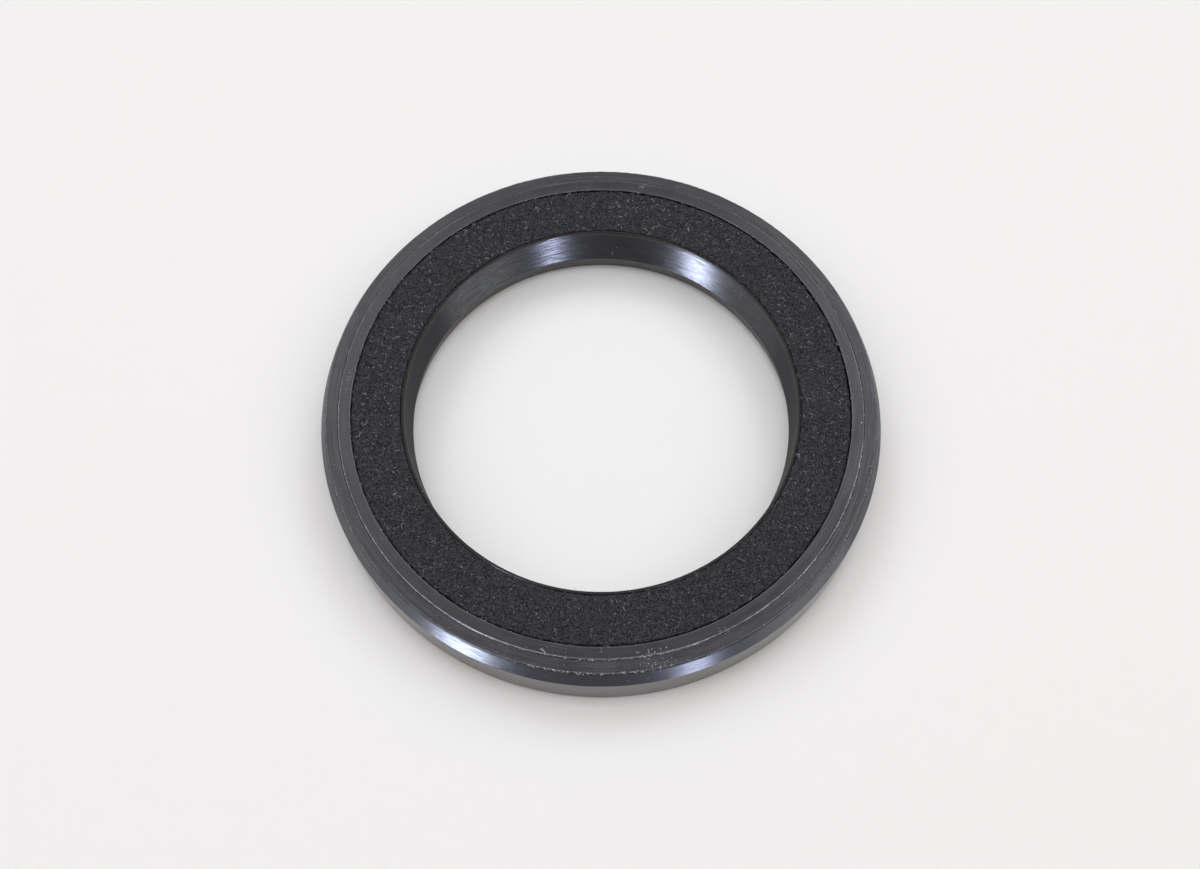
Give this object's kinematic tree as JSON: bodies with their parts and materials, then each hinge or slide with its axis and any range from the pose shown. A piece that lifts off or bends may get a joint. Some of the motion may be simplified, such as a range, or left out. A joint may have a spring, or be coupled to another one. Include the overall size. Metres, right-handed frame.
{
  "type": "crankshaft seal",
  "caption": "Ring-shaped rotary shaft seal: rubber-covered steel case pressed into a bore, spring-loaded sealing lip on the shaft, felt dust ring on the air side.",
  "frame": {"origin": "on the shaft axis, in the plane of the oil-side face that the seal rests on", "axes": "+Z along the shaft axis towards the air side, where the felt is; X and Y are any two radial directions"},
  "size_m": [0.1004, 0.1004, 0.012],
  "materials": {
    "rubber": "semi-gloss moulded rubber with fine concentric turning marks",
    "case_steel": "dull phosphated pressed steel",
    "spring_steel": "drawn spring wire",
    "felt": "black non-woven felt with pale loose fibres"
  },
  "bodies": {
    "root": {"rubber_body": "rubber", "steel_case": "case_steel", "garter_spring": "spring_steel", "felt_ring": "felt"}
  },
  "joints": []
}
